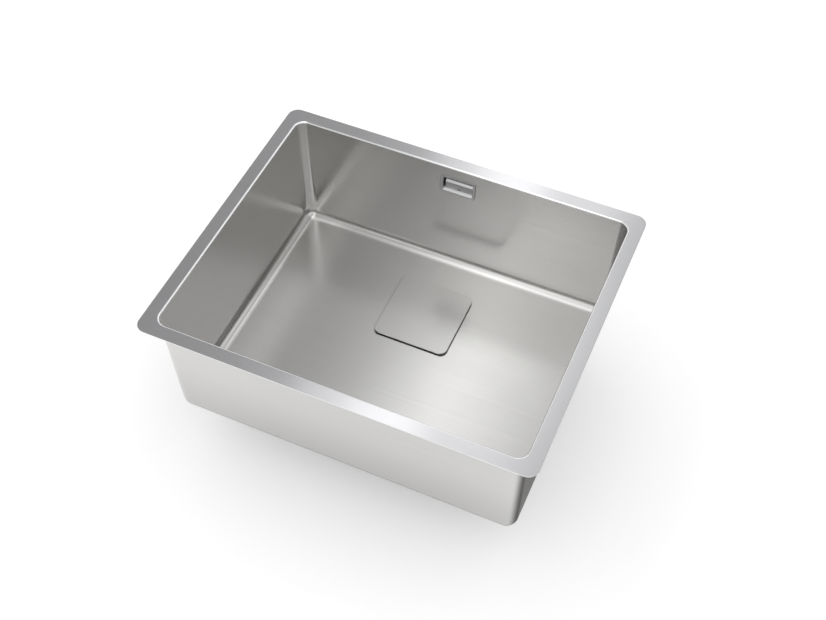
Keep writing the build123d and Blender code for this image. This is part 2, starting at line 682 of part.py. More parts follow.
def overflow_seal():
    """The gasket between the back wall and the housing."""
    gasket = RectangleRounded(GASKET_LENGTH, GASKET_HEIGHT, SLOT_CORNER_R + GASKET_WIDTH)
    gasket -= RectangleRounded(SLOT_LENGTH, SLOT_HEIGHT, SLOT_CORNER_R)
    return ON_BACK_WALL * slab(gasket, SHEET, HOUSING_FRONT)


def overflow_screws():
    """Two cross-headed screws through the frame's web into the housing's bosses."""
    head = Cylinder(FIXING_HEAD_R, FIXING_HEAD_T, align=STANDING)
    head = fillet(edges_at(head, FIXING_HEAD_T), FIXING_HEAD_T / 2)
    for angle in (0, 90):
        arm = Box(FIXING_CROSS_LENGTH, FIXING_CROSS_WIDTH, FIXING_HEAD_T)
        head -= Rot(0, 0, angle) * at_height(FIXING_HEAD_T) * arm
    screw = head + Cylinder(FIXING_R, FIXING_LENGTH, align=HANGING)
    places = fixing_places(WEB_Y)
    return Compound(children=[ON_BACK_WALL * place * screw for place in places])


def chamber_outline():
    """The housing's side view in y and z: upright front, sloping back, flat foot."""
    back = PIPE_Y + SPIGOT_R - OVERFLOW_Y
    return make_face(
        Polyline(
            (HOUSING_FRONT, HOUSING_TOP),
            (HOUSING_TOP_DEPTH, HOUSING_TOP),
            (back, HOUSING_TOP - HOUSING_SLOPE),
            (back, -HOUSING_FOOT),
            (HOUSING_FRONT, -HOUSING_FOOT),
            close=True,
        )
    )


def overflow_housing():
    """The moulded chamber behind the wall: flange, screw bosses and the spigot for the pipe."""
    outline = chamber_outline()
    block = extrude(Plane.YZ * outline, SLOT_LENGTH / 2 + HOUSING_WALL, both=True)
    front = block.edges().filter_by_position(Axis.Y, HOUSING_FRONT, HOUSING_FRONT)
    block = fillet(block.edges() - front, HOUSING_EDGE_R)
    inside = offset(outline, -HOUSING_WALL, kind=Kind.INTERSECTION)
    cavity = extrude(Plane.YZ * inside, SLOT_LENGTH / 2, both=True)
    boss_length = PIPE_Y - WEB_Y
    boss = Cylinder(HOUSING_BOSS_R, boss_length, align=HANGING)
    cavity -= [place * boss for place in fixing_places(SLEEVE_DEPTH)]
    flange_back = HOUSING_FRONT + HOUSING_FLANGE_T
    flange = RectangleRounded(GASKET_LENGTH, GASKET_HEIGHT, SLOT_CORNER_R + GASKET_WIDTH)
    throat = RectangleRounded(SLOT_LENGTH, SLOT_HEIGHT, SLOT_CORNER_R)
    housing = block + slab(flange, HOUSING_FRONT, flange_back)
    housing -= cavity + slab(throat, HOUSING_FRONT, flange_back)
    pilot = Cylinder(FIXING_R + THREAD_GAP, FIXING_LENGTH, align=HANGING)
    housing -= [place * pilot for place in fixing_places(WEB_Y)]
    spigot = Cylinder(SPIGOT_R, SPIGOT_LENGTH + HOUSING_WALL, align=STANDING)
    placed = ON_BACK_WALL * housing + AT_HOUSING * spigot
    return placed - AT_HOUSING * pipe_socket(SPIGOT_LENGTH + 2 * HOUSING_WALL)


# ---- Overflow pipe and slip joints ----


def cone_seal():
    """The rubber cone that the nut presses round the pipe, against the spigot's mouth."""
    bore_r = PIPE_R + THREAD_GAP
    return turned(
        [
            (bore_r, 0),
            (SPIGOT_R, 0),
            (SPIGOT_R - CONE_TAPER, -CONE_LENGTH),
            (bore_r, -CONE_LENGTH),
        ]
    )


def slip_nut():
    """The ribbed hand nut of a slip joint, threaded over the spigot and coned inside."""
    thread_r = SPIGOT_R + THREAD_GAP
    outer_r = thread_r + SLIP_NUT_WALL
    foot = -CONE_LENGTH - SLIP_NUT_LIP
    body = ring(0, outer_r, foot, SLIP_NUT_GRIP)
    body = fillet(edges_at(body, foot), SLIP_NUT_LIP / 2)
    grip = Cylinder(SLIP_NUT_RIB_R, SLIP_NUT_GRIP + CONE_LENGTH)
    grip_z = (SLIP_NUT_GRIP - CONE_LENGTH) / 2
    body += [at_height(grip_z) * spot * grip for spot in PolarLocations(outer_r, SLIP_NUT_RIBS)]
    bore = turned(
        [
            (0, foot),
            (PIPE_R + PIPE_FIT, foot),
            (PIPE_R + PIPE_FIT, -CONE_LENGTH),
            (thread_r - CONE_TAPER, -CONE_LENGTH),
            (thread_r, 0),
            (thread_r, SLIP_NUT_GRIP),
            (0, SLIP_NUT_GRIP),
        ]
    )
    return body - bore


def overflow_pipe():
    """The rigid pipe down from the housing and round one bend into the waste body's port."""
    top = SPIGOT_END_Z + SOCKET_DEPTH - PIPE_FIT
    end_y = DRAIN_Y + BODY_OUTER_R + PORT_LENGTH - SOCKET_DEPTH + PIPE_FIT
    route = FilletPolyline((PIPE_Y, top), (PIPE_Y, PORT_Z), (end_y, PORT_Z), radius=PIPE_BEND_R)
    section = Circle(PIPE_R) - Circle(PIPE_R - PIPE_WALL)
    return sweep(Pos(0, PIPE_Y, top) * section, path=Plane.YZ * route)


PIECES = {
    "bowl": bowl(),
    "sound_pads": sound_pads(),
    "waste_cup": waste_cup(),
    "cup_seal": cup_seal(),
    "body_seal": body_seal(),
    "valve_screw": valve_screw(),
    "body_insert": body_insert(),
    "waste_body": waste_body(),
    "strainer_basket": strainer_basket(),
    "basket_seal": basket_seal(),
    "stopper_spacer": stopper_spacer(),
    "basket_post": basket_post(),
    "seal_washer": seal_washer(),
    "post_nut": post_nut(),
    "basket_knob": basket_knob(),
    "drain_cover": drain_cover(),
    "cover_carrier": cover_carrier(),
    "overflow_frame": overflow_frame(),
    "overflow_plate": overflow_plate(),
    "overflow_seal": overflow_seal(),
    "overflow_screws": overflow_screws(),
    "overflow_housing": overflow_housing(),
    "overflow_pipe": overflow_pipe(),
    "upper_cone_seal": AT_HOUSING * cone_seal(),
    "upper_nut": AT_HOUSING * slip_nut(),
    "lower_cone_seal": AT_PORT * cone_seal(),
    "lower_nut": AT_PORT * slip_nut(),
}

os.makedirs("parts", exist_ok=True)
for name, piece in PIECES.items():
    export_step(piece, f"parts/{name}.step")
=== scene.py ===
import bpy
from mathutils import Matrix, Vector


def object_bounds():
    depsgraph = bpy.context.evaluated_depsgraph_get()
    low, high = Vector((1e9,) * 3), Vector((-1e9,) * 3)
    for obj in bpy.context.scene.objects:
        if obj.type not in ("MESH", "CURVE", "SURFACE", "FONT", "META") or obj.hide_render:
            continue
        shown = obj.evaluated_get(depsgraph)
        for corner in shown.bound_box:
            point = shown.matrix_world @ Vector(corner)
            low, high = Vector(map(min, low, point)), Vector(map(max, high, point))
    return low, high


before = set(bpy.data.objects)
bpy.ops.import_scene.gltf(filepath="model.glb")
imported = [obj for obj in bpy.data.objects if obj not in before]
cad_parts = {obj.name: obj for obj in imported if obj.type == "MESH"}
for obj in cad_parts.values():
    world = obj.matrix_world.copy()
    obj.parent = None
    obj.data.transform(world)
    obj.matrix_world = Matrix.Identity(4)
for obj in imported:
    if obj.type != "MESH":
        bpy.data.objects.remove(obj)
cad_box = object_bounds()

# ---- Camera ----
# It stands in front of the sink, to its right and well above it, as in the photograph, and
# looks at a point in the middle of the bowl, a little below the rim.

CAMERA_AT = Vector((0.4234, -0.9154, 1.2295))
CAMERA_AIM = Vector((0.0100, 0.0196, -0.1000))
LENS_MM = 53.08
SENSOR_MM = 36.0

camera = bpy.data.objects.new("camera", bpy.data.cameras.new("camera"))
camera.data.sensor_fit = "HORIZONTAL"
camera.data.sensor_width = SENSOR_MM
camera.data.lens = LENS_MM
camera.location = CAMERA_AT
camera.rotation_euler = (CAMERA_AIM - CAMERA_AT).to_track_quat("-Z", "Y").to_euler()
bpy.context.scene.collection.objects.link(camera)
bpy.context.scene.camera = camera
bpy.context.scene.view_settings.view_transform = "Standard"

# ---- Bowl ----
# One sheet of stainless steel, 1 mm thick, pressed and folded to a bowl with a flat rim. It is
# satin brushed before it is bent, so the fine strokes follow the walls, and polished on the lip,
# where a highlight is also painted. Shade is painted on the outside's foot, ends and undersides
# and in the inner end bends.

WHITE = (1.0, 1.0, 1.0)

STROKE_LENGTH = 0.03
STROKE_WIDTH = 0.0004
STROKE_DEPTH = 0.0000003
SHADE_STRETCH = 12.0             # the slow shades, against the strokes that they lie along
CLOUD_SIZE = 0.09
CLOUD_HAZE = 0.012               # how far a cloud of wiping marks moves the roughness

# Heights, each from where a look starts to where it is full.
RIM_FACE = (-0.0016, -0.0006)
LIP_HEIGHT = (-0.0034, -0.0024)
FOOT_HEIGHT = (-0.06, -0.20)

# How far a wall faces away from the bowl's middle, in metres, on the outside and on the inside.
OUTSIDE = (0.05, 0.12)
INSIDE = (-0.05, -0.12)

# Parts of a face's normal along one axis, in the same way.
TURN_OF_STROKES = (0.3, 0.9)
LIP_TURN = (0.99, 0.9)
END_WALL = (0.40, 0.95)
UNDERSIDE = (-0.1, -0.4)
INNER_END = (0.6, 0.8)
BEND_TOP = (0.026, 0.09)
BEND_FOOT = (0.62, 0.36)


def add(tree, kind, **settings):
    """Adds a node to a tree, with its properties and its sockets' values."""
    node = tree.nodes.new("ShaderNode" + kind)
    for name, value in settings.items():
        if name in node.bl_rna.properties:
            setattr(node, name, value)
        else:
            node.inputs[name.replace("_", " ")].default_value = value
    return node


def calc(tree, operation, *values):
    """Adds a Math node and returns its output. A value is a number or another node's output."""
    node = add(tree, "Math", operation=operation)
    for socket, value in zip(node.inputs, values):
        if isinstance(value, (int, float)):
            socket.default_value = value
        else:
            tree.links.new(value, socket)
    return node.outputs[0]


def smooth_step(tree, value, start, end):
    """Rises softly from 0 at start to 1 at end."""
    ramp = add(tree, "MapRange", interpolation_type="SMOOTHSTEP", From_Min=start, From_Max=end)
    tree.links.new(value, ramp.inputs["Value"])
    return ramp.outputs[0]


def place_on(tree):
    """Where a point of the sink lies: its X, Y and Z in metres."""
    parts = add(tree, "SeparateXYZ")
    tree.links.new(add(tree, "TexCoord").outputs["Object"], parts.inputs[0])
    return parts.outputs


def facing_of(tree):
    """Which way a face looks: the X, Y and Z parts of its normal."""
    parts = add(tree, "SeparateXYZ")
    tree.links.new(add(tree, "NewGeometry").outputs["Normal"], parts.inputs[0])
    return parts.outputs


def blend(tree, mask, under, over):
    """Lays one colour over another by a mask. Each is three numbers or another node's output."""
    mix = add(tree, "MixRGB")
    tree.links.new(mask, mix.inputs["Fac"])
    for socket, colour in (("Color1", under), ("Color2", over)):
        if isinstance(colour, tuple):
            mix.inputs[socket].default_value = (*colour, 1.0)
        else:
            tree.links.new(colour, mix.inputs[socket])
    return mix.outputs[0]


def recolour(tree, mask, colour):
    """Lays another colour over a material's own wherever a mask is 1."""
    base = tree.nodes["Principled BSDF"].inputs["Base Color"]
    tree.links.new(blend(tree, mask, base.links[0].from_socket, colour), base)


def blank_group(name, inputs, outputs):
    """Starts a shader node group and returns it with its input and output nodes."""
    group = bpy.data.node_groups.new(name, "ShaderNodeTree")
    for socket, value in inputs.items():
        made = group.interface.new_socket(socket, in_out="INPUT", socket_type="NodeSocketFloat")
        made.default_value = value
    for socket in outputs:
        group.interface.new_socket(socket, in_out="OUTPUT", socket_type="NodeSocketFloat")
    return group, group.nodes.new("NodeGroupInput"), group.nodes.new("NodeGroupOutput")


def one_or_other(tree, share, first, second):
    """Goes from a first value to a second as a share rises from 0 to 1."""
    left = calc(tree, "SUBTRACT", 1.0, share)
    return calc(tree, "ADD", calc(tree, "MULTIPLY", second, share), calc(tree, "MULTIPLY", first, left))


def brushed_strokes():
    """A group: strokes drawn along the length of the sheet, and level round its end walls."""
    sizes = {"Stroke Length": STROKE_LENGTH, "Stroke Width": STROKE_WIDTH}
    group, given, result = blank_group("brushed_strokes", sizes, ["Strokes", "Shades"])
    x, y, z = place_on(group)
    facing = facing_of(group)
    on_end = smooth_step(group, calc(group, "ABSOLUTE", facing["X"]), *TURN_OF_STROKES)
    on_flat = smooth_step(group, calc(group, "ABSOLUTE", facing["Z"]), *TURN_OF_STROKES)
    ways = {
        "X": (one_or_other(group, on_end, x, y), given.outputs["Stroke Length"]),
        "Y": (one_or_other(group, on_flat, z, y), given.outputs["Stroke Width"]),
    }
    for name, stretch in (("Strokes", 1.0), ("Shades", SHADE_STRETCH)):
        at = add(group, "CombineXYZ")
        for axis, (way, size) in ways.items():
            step = calc(group, "MULTIPLY", size, stretch)
            group.links.new(calc(group, "DIVIDE", way, step), at.inputs[axis])
        noise = add(group, "TexNoise", Scale=1.0, Detail=3.0)
        group.links.new(at.outputs[0], noise.inputs["Vector"])
        group.links.new(noise.outputs["Fac"], result.inputs[name])
    return group


def handling_marks():
    """A group: soft cloudy patches where hands, water and wiping have dulled a surface."""
    group, given, result = blank_group("handling_marks", {"Cloud Size": CLOUD_SIZE}, ["Marks"])
    noise = add(group, "TexNoise", Detail=2.0, Roughness=0.4)
    group.links.new(add(group, "TexCoord").outputs["Object"], noise.inputs["Vector"])
    group.links.new(calc(group, "DIVIDE", 1.0, given.outputs["Cloud Size"]), noise.inputs["Scale"])
    group.links.new(noise.outputs["Fac"], result.inputs["Marks"])
    return group


def use(tree, group, **values):
    """Puts a node group into a material, with its own values."""
    node = tree.nodes.new("ShaderNodeGroup")
    node.node_tree = group
    for name, value in values.items():
        node.inputs[name.replace("_", " ")].default_value = value
    return node


def spread(tree, value, low, high):
    """Turns a mask that runs mostly from 0.3 to 0.7 into a value from low to high."""
    ramp = add(tree, "MapRange", From_Min=0.3, From_Max=0.7, To_Min=low, To_Max=high)
    tree.links.new(value, ramp.inputs["Value"])
    return ramp.outputs[0]


def tint(tree, mask, dark, light):
    """Colours a surface between two tones by such a mask."""
    ramp = add(tree, "ValToRGB")
    for stop, place, tone in zip(ramp.color_ramp.elements, (0.3, 0.7), (dark, light)):
        stop.position = place
        stop.color = (*tone, 1.0)
    tree.links.new(mask, ramp.inputs["Fac"])
    return ramp.outputs["Color"]


def relief(tree, height, depth):
    """Makes a bump from a height mask, deep in metres from 0 to 1."""
    bump = add(tree, "Bump", Strength=1.0, Distance=depth)
    tree.links.new(height, bump.inputs["Height"])
    return bump.outputs["Normal"]


def new_finish(name, metallic, **settings):
    """Starts a material and returns it with its tree and its main shader."""
    material = bpy.data.materials.new(name)
    material.use_nodes = True
    shader = material.node_tree.nodes["Principled BSDF"]
    shader.inputs["Metallic"].default_value = metallic
    for socket, value in settings.items():
        shader.inputs[socket.replace("_", " ")].default_value = value
    return material, material.node_tree, shader


def finish(material, *names):
    """Gives a material to the solids of these names."""
    for name in names:
        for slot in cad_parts[name].material_slots:
            slot.material = material


strokes_group = brushed_strokes()
marks_group = handling_marks()


def satin_steel(name, dark, light, smooth, rough):
    """Stainless steel with fine straight strokes and faint handling marks."""
    material, tree, shader = new_finish(name, 1.0)
    strokes = use(tree, strokes_group, Stroke_Length=STROKE_LENGTH, Stroke_Width=STROKE_WIDTH)
    marks = use(tree, marks_group, Cloud_Size=CLOUD_SIZE)
    tree.links.new(tint(tree, strokes.outputs["Shades"], dark, light), shader.inputs["Base Color"])
    texture = spread(tree, strokes.outputs["Strokes"], smooth, rough)
    clouds = spread(tree, marks.outputs["Marks"], -CLOUD_HAZE, CLOUD_HAZE)
    tree.links.new(calc(tree, "ADD", texture, clouds), shader.inputs["Roughness"])
    tree.links.new(relief(tree, strokes.outputs["Strokes"], STROKE_DEPTH), shader.inputs["Normal"])
    return material


def paint_wall_shade(material, foot_shade, end_shade, bend_shade):
    """Paints shade into the bowl's colour: darker towards the outside's foot, on the outside's ends and
    undersides, and in the inner end bends.
    """
    tree = material.node_tree
    place = place_on(tree)
    facing = facing_of(tree)
    outward = calc(tree, "ADD", *(calc(tree, "MULTIPLY", place[axis], facing[axis]) for axis in "XY"))
    outside = smooth_step(tree, outward, *OUTSIDE)
    # Painted shade: the outside walls grow darker towards their foot, as if shade from the floor fell on
    # them.
    low = smooth_step(tree, place["Z"], *FOOT_HEIGHT)
    recolour(tree, calc(tree, "MULTIPLY", outside, low), foot_shade)
    across = calc(tree, "ABSOLUTE", facing["X"])
    # Painted shade: the outside's end walls and undersides are darkened, both in colour and in the tint
    # of their reflections.
    on_end = smooth_step(tree, across, *END_WALL)
    below = smooth_step(tree, facing["Z"], *UNDERSIDE)
    outer_shade = calc(tree, "MULTIPLY", outside, calc(tree, "MAXIMUM", on_end, below))
    recolour(tree, outer_shade, end_shade)
    glance = tree.nodes["Principled BSDF"].inputs["Specular Tint"]
    tree.links.new(blend(tree, outer_shade, WHITE, end_shade), glance)
    # Painted shade: a dark band in the inner end bends just above the floor, where the corner falls into
    # shade.
    upper = smooth_step(tree, facing["Z"], *BEND_TOP)
    lower = smooth_step(tree, facing["Z"], *BEND_FOOT)
    inner = calc(
        tree, "MULTIPLY", smooth_step(tree, across, *INNER_END), smooth_step(tree, outward, *INSIDE))
    recolour(tree, calc(tree, "MULTIPLY", calc(tree, "MULTIPLY", upper, lower), inner), bend_shade)


def polish_rim(material, face, lip_highlight, gloss):
    """Makes the steel bluer and smoother on the rim, which is linished flat after pressing, and paints a
    highlight on its rounded lip.
    """
    tree = material.node_tree
    height = place_on(tree)["Z"]
    on_rim = smooth_step(tree, height, *RIM_FACE)
    recolour(tree, on_rim, face)
    above = smooth_step(tree, height, *LIP_HEIGHT)
    turning = smooth_step(tree, facing_of(tree)["Z"], *LIP_TURN)
    recolour(tree, calc(tree, "MULTIPLY", above, turning), lip_highlight)
    roughness = tree.nodes["Principled BSDF"].inputs["Roughness"]
    less = calc(tree, "MULTIPLY", on_rim, gloss)
    tree.links.new(calc(tree, "SUBTRACT", roughness.links[0].from_socket, less), roughness)


bowl_steel = satin_steel(
    "bowl_steel", dark=(0.63, 0.625, 0.615), light=(0.65, 0.645, 0.635), smooth=0.21, rough=0.24)
paint_wall_shade(
    bowl_steel, foot_shade=(0.53, 0.525, 0.515), end_shade=(0.30, 0.298, 0.293), bend_shade=(0.32, 0.318, 0.312))
polish_rim(bowl_steel, face=(0.76, 0.76, 0.775), lip_highlight=(0.95, 0.95, 0.955), gloss=0.04)
finish(bowl_steel, "bowl")

# ---- Sound pads ----
# Three mats of heavy rubber, stuck under the floor to deaden the noise of water. They are cut
# from calendered sheet, so their skin is matt and finely pitted.

FLOW_SCALE = 25.0                # waves of tone in a metre


def moulded_skin():
    """A group: the fine even pitting that a mould or a roller leaves."""
    group, given, result = blank_group("moulded_skin", {"Grain Size": 0.0008}, ["Pits", "Flow"])
    place = add(group, "TexCoord").outputs["Object"]
    pits = add(group, "TexNoise", Detail=2.0)
    group.links.new(calc(group, "DIVIDE", 1.0, given.outputs["Grain Size"]), pits.inputs["Scale"])
    flow = add(group, "TexNoise", Scale=FLOW_SCALE, Detail=3.0)
    for name, noise in (("Pits", pits), ("Flow", flow)):
        group.links.new(place, noise.inputs["Vector"])
        group.links.new(noise.outputs["Fac"], result.inputs[name])
    return group


skin_group = moulded_skin()


def moulded(name, dark, light, smooth, rough, grain, depth):
    """Rubber or plastic with a pitted skin and slow changes of tone."""
    material, tree, shader = new_finish(name, 0.0)
    skin = use(tree, skin_group, Grain_Size=grain)
    tree.links.new(tint(tree, skin.outputs["Flow"], dark, light), shader.inputs["Base Color"])
    tree.links.new(spread(tree, skin.outputs["Flow"], smooth, rough), shader.inputs["Roughness"])
    tree.links.new(relief(tree, skin.outputs["Pits"], depth), shader.inputs["Normal"])
    return material


pad_rubber = moulded(
    "pad_rubber", dark=(0.060, 0.060, 0.064), light=(0.085, 0.085, 0.088),
    smooth=0.75, rough=0.9, grain=0.0012, depth=0.0002)
finish(pad_rubber, "sound_pads")

# ---- Overflow ----
# A satin plated frame clipped round a slot in the back wall, with a lift-out plate in its well
# and two screws that pull it and the moulded housing behind together over a rubber gasket.

HAZE_SIZE = 0.02
HAZE_DEPTH = 0.000003
LEDGE = (0.5, 0.8)               # upright part of a ledge's normal, from soft to full
FRAME_Z = -0.033
FRAME_HALVES = (0.027, 0.015)
FRAME_BACK = 0.208               # how far back the ledges of its well are seen
# Where the painted shade on the ledge behind the plate starts and where it is full.
SHADE_BEHIND_PLATE = (0.2041, 0.2047)    # just behind the plate's face


def plated_metal(name, dark, light, smooth, rough):
    """Plated metal with a faint haze of wiping marks."""
    material, tree, shader = new_finish(name, 1.0)
    marks = use(tree, marks_group, Cloud_Size=HAZE_SIZE).outputs["Marks"]
    tree.links.new(tint(tree, marks, dark, light), shader.inputs["Base Color"])
    tree.links.new(spread(tree, marks, smooth, rough), shader.inputs["Roughness"])
    tree.links.new(relief(tree, marks, HAZE_DEPTH), shader.inputs["Normal"])
    return material


def painted_shade_line(material, axes, middle, halves, corner, width, colour):
    """Paints a line of shade of this width inside a round-cornered outline, along an edge."""
    tree = material.node_tree
    place = place_on(tree)
    squares = []
    for axis, centre, half_size in zip(axes, middle, halves):
        off = calc(tree, "ABSOLUTE", calc(tree, "SUBTRACT", place[axis], centre))
        past = calc(tree, "MAXIMUM", calc(tree, "SUBTRACT", off, half_size - corner), 0.0)
        squares.append(calc(tree, "MULTIPLY", past, past))
    reach = calc(tree, "SQRT", calc(tree, "ADD", *squares))
    recolour(tree, smooth_step(tree, reach, corner - width, corner - width / 2), colour)


def paint_light_by_facing(material, colour, axis, start, end):
    """Paints light on the faces that look along an axis, as a lighter colour, from a soft start to a
    full end.
    """
    tree = material.node_tree
    recolour(tree, smooth_step(tree, facing_of(tree)[axis], start, end), colour)


def paint_shade_past(material, colour, axis, start, end):
    """Paints shade on what lies past a place along an axis, as a darker colour, from a soft start to a
    full end.
    """
    tree = material.node_tree
    recolour(tree, smooth_step(tree, place_on(tree)[axis], start, end), colour)


def round_ledge(material, front, back, rise):
    """Shades the ledges as if they rose this much from front to back, so their worn edge shines."""
    tree = material.node_tree
    normal = tree.nodes["Principled BSDF"].inputs["Normal"]
    slope = add(tree, "MapRange", From_Min=front, From_Max=back)
    tree.links.new(place_on(tree)["Y"], slope.inputs["Value"])
    ledge = smooth_step(tree, calc(tree, "ABSOLUTE", facing_of(tree)["Z"]), *LEDGE)
    bump = add(tree, "Bump", Distance=rise)
    tree.links.new(calc(tree, "MULTIPLY", slope.outputs[0], ledge), bump.inputs["Height"])
    tree.links.new(normal.links[0].from_socket, bump.inputs["Normal"])
    tree.links.new(bump.outputs["Normal"], normal)


frame_satin = plated_metal(
    "frame_satin", dark=(0.58, 0.58, 0.585), light=(0.62, 0.62, 0.625), smooth=0.40, rough=0.45)
# Painted highlight: the frame's upward ledges are lighter, as if catching light from above.
paint_light_by_facing(frame_satin, (0.86, 0.86, 0.865), "Z", 0.4, 0.8)
# Painted light: the frame's downward faces are lighter, as if lit from the bowl below.
paint_light_by_facing(frame_satin, (0.80, 0.80, 0.805), "Z", -0.4, -0.8)
# Painted shade: the ledge behind the plate's face is dark, so the plate's notch reads as a shadowed
# hole.
paint_shade_past(frame_satin, (0.20, 0.20, 0.202), "Y", *SHADE_BEHIND_PLATE)
round_ledge(frame_satin, front=0.196, back=FRAME_BACK, rise=0.0058)
# Painted shadow: a dark line round the frame's edge, where the gap to the wall falls into shade.
painted_shade_line(
    frame_satin, "XZ", middle=(0.0, FRAME_Z), halves=FRAME_HALVES, corner=0.002, width=0.0009,
    colour=(0.34, 0.34, 0.34))
finish(frame_satin, "overflow_frame", "overflow_screws")

plate_satin = plated_metal(
    "plate_satin", dark=(0.40, 0.40, 0.405), light=(0.46, 0.46, 0.465), smooth=0.28, rough=0.30)
# Painted highlight: the plate's upward bevel is lighter; painted light: its downward faces are lighter
# too.
paint_light_by_facing(plate_satin, (0.57, 0.57, 0.575), "Z", 0.2, 0.5)
paint_light_by_facing(plate_satin, (0.80, 0.80, 0.805), "Z", -0.2, -0.5)
finish(plate_satin, "overflow_plate")

gasket_rubber = moulded(
    "gasket_rubber", dark=(0.022, 0.022, 0.023), light=(0.034, 0.034, 0.035),
    smooth=0.5, rough=0.65, grain=0.0005, depth=0.00005)
finish(gasket_rubber, "overflow_seal", "upper_cone_seal", "lower_cone_seal")

white_plastic = moulded(
    "white_plastic", dark=(0.74, 0.74, 0.72), light=(0.80, 0.80, 0.79),
    smooth=0.36, rough=0.48, grain=0.0008, depth=0.00004)
finish(white_plastic, "overflow_housing", "overflow_pipe")

nut_plastic = moulded(
    "nut_plastic", dark=(0.16, 0.165, 0.17), light=(0.20, 0.205, 0.21),
    smooth=0.35, rough=0.48, grain=0.0006, depth=0.00004)
finish(nut_plastic, "upper_nut", "lower_nut")

# ---- Waste ----
# A stainless cup stands on a foam ring in the drain pocket. One screw through its middle pulls
# up the moulded body below, which has a brass insert, a rubber ring and the trap's outlet.

DRAIN_Y = 0.08
RING_WIDTH = 0.0003
RING_DEPTH = 0.00001


def turned_marks():
    """A group: the rings that a lathe or a spinning tool leaves round an upright axis."""
    sizes = {"Axis X": 0.0, "Axis Y": DRAIN_Y, "Ring Width": RING_WIDTH}
    group, given, result = blank_group("turned_marks", sizes, ["Rings"])
    place = place_on(group)
    squares = []
    for axis in "XY":
        off = calc(group, "SUBTRACT", place[axis], given.outputs["Axis " + axis])
        squares.append(calc(group, "MULTIPLY", off, off))
    radius = calc(group, "SQRT", calc(group, "ADD", *squares))
    at = add(group, "CombineXYZ")
    for socket, way in (("X", radius), ("Y", place["Z"])):
        group.links.new(calc(group, "DIVIDE", way, given.outputs["Ring Width"]), at.inputs[socket])
    noise = add(group, "TexNoise", Scale=1.0, Detail=2.0)
    group.links.new(at.outputs[0], noise.inputs["Vector"])
    group.links.new(noise.outputs["Fac"], result.inputs["Rings"])
    return group


rings_group = turned_marks()


def turned_metal(name, dark, light, smooth, rough):
    """Metal that was turned, spun or drawn round the drain's axis."""
    material, tree, shader = new_finish(name, 1.0)
    rings = use(tree, rings_group, Ring_Width=RING_WIDTH).outputs["Rings"]
    tree.links.new(tint(tree, rings, dark, light), shader.inputs["Base Color"])
    tree.links.new(spread(tree, rings, smooth, rough), shader.inputs["Roughness"])
    tree.links.new(relief(tree, rings, RING_DEPTH), shader.inputs["Normal"])
    return material


finish(white_plastic, "waste_body")
finish(gasket_rubber, "body_seal")

drawn_steel = turned_metal(
    "drawn_steel", dark=(0.60, 0.60, 0.59), light=(0.66, 0.66, 0.65), smooth=0.20, rough=0.30)
finish(drawn_steel, "waste_cup", "valve_screw")

foam = moulded(
    "foam", dark=(0.11, 0.11, 0.115), light=(0.16, 0.16, 0.165),
    smooth=0.85, rough=0.95, grain=0.001, depth=0.0003)
finish(foam, "cup_seal")

brass = turned_metal(
    "brass", dark=(0.66, 0.48, 0.22), light=(0.74, 0.56, 0.28), smooth=0.25, rough=0.36)
finish(brass, "body_insert")

# ---- Basket ----
# A drawn basket with punched holes lifts out of the cup. A stem through its floor carries the
# grip above and a rubber stopper below, which shuts the cup when the basket is pressed down.

basket_steel = turned_metal(
    "basket_steel", dark=(0.58, 0.58, 0.57), light=(0.66, 0.66, 0.65), smooth=0.16, rough=0.26)
finish(basket_steel, "strainer_basket", "basket_knob")
finish(basket_steel, "basket_post", "post_nut", "stopper_spacer", "seal_washer")
finish(gasket_rubber, "basket_seal")

# ---- Drain cover ----
# A square plate of 2 mm stainless steel, satin brushed like the bowl's floor, stands on a
# moulded ring whose feet rest on the cup's flange, so that water runs in all round its edge.

COVER_HALF = 0.057
COVER_CORNER = 0.011
# The cover's line is painted shade, shifted onto its left edge, standing in for the shade beside the
# raised plate.
LINE_WIDTH = 0.0016
LINE_SHIFT = 0.0015              # moves the line on to the left edge, and off the right one
LINE_SLACK = 0.0025              # keeps it off the front and back edges

cover_steel = satin_steel(
    "cover_steel", dark=(0.60, 0.595, 0.585), light=(0.61, 0.605, 0.595), smooth=0.256, rough=0.258)
# Painted shade: a darker line inside the cover's left edge.
painted_shade_line(
    cover_steel, "XY", middle=(LINE_SHIFT, DRAIN_Y), halves=(COVER_HALF, COVER_HALF + LINE_SLACK),
    corner=COVER_CORNER, width=LINE_WIDTH, colour=(0.54, 0.535, 0.525))
# Painted light: the cover's sides and underside are made almost white, standing in for the lit floor
# they reflect.
paint_light_by_facing(cover_steel, (0.90, 0.90, 0.90), "Z", 0.5, 0.2)
finish(cover_steel, "drain_cover")

carrier_plastic = moulded(
    "carrier_plastic", dark=(0.13, 0.13, 0.135), light=(0.17, 0.17, 0.175),
    smooth=0.4, rough=0.5, grain=0.0006, depth=0.00004)
finish(carrier_plastic, "cover_carrier")

# ---- Studio ----
# The sink stands on its waste on a wide pale floor, in a white room under four level lamps. The
# ceiling shows only in reflections: dim on the left, bright over the bowl, grey on the right.

FLOOR_SIZE = 16.0
FLOOR_GLOW = 0.28
FLOOR_CLOUDS = 0.8
ROOM_LEVEL = 0.95
LOWEST_RISE = 0.05               # keeps the lean of a level ray finite
FRONT_TO_REAR = (-0.1, 0.1)      # by a ray's Y
WALL_TO_CEILING = (0.52, 0.64)   # by a ray's Z

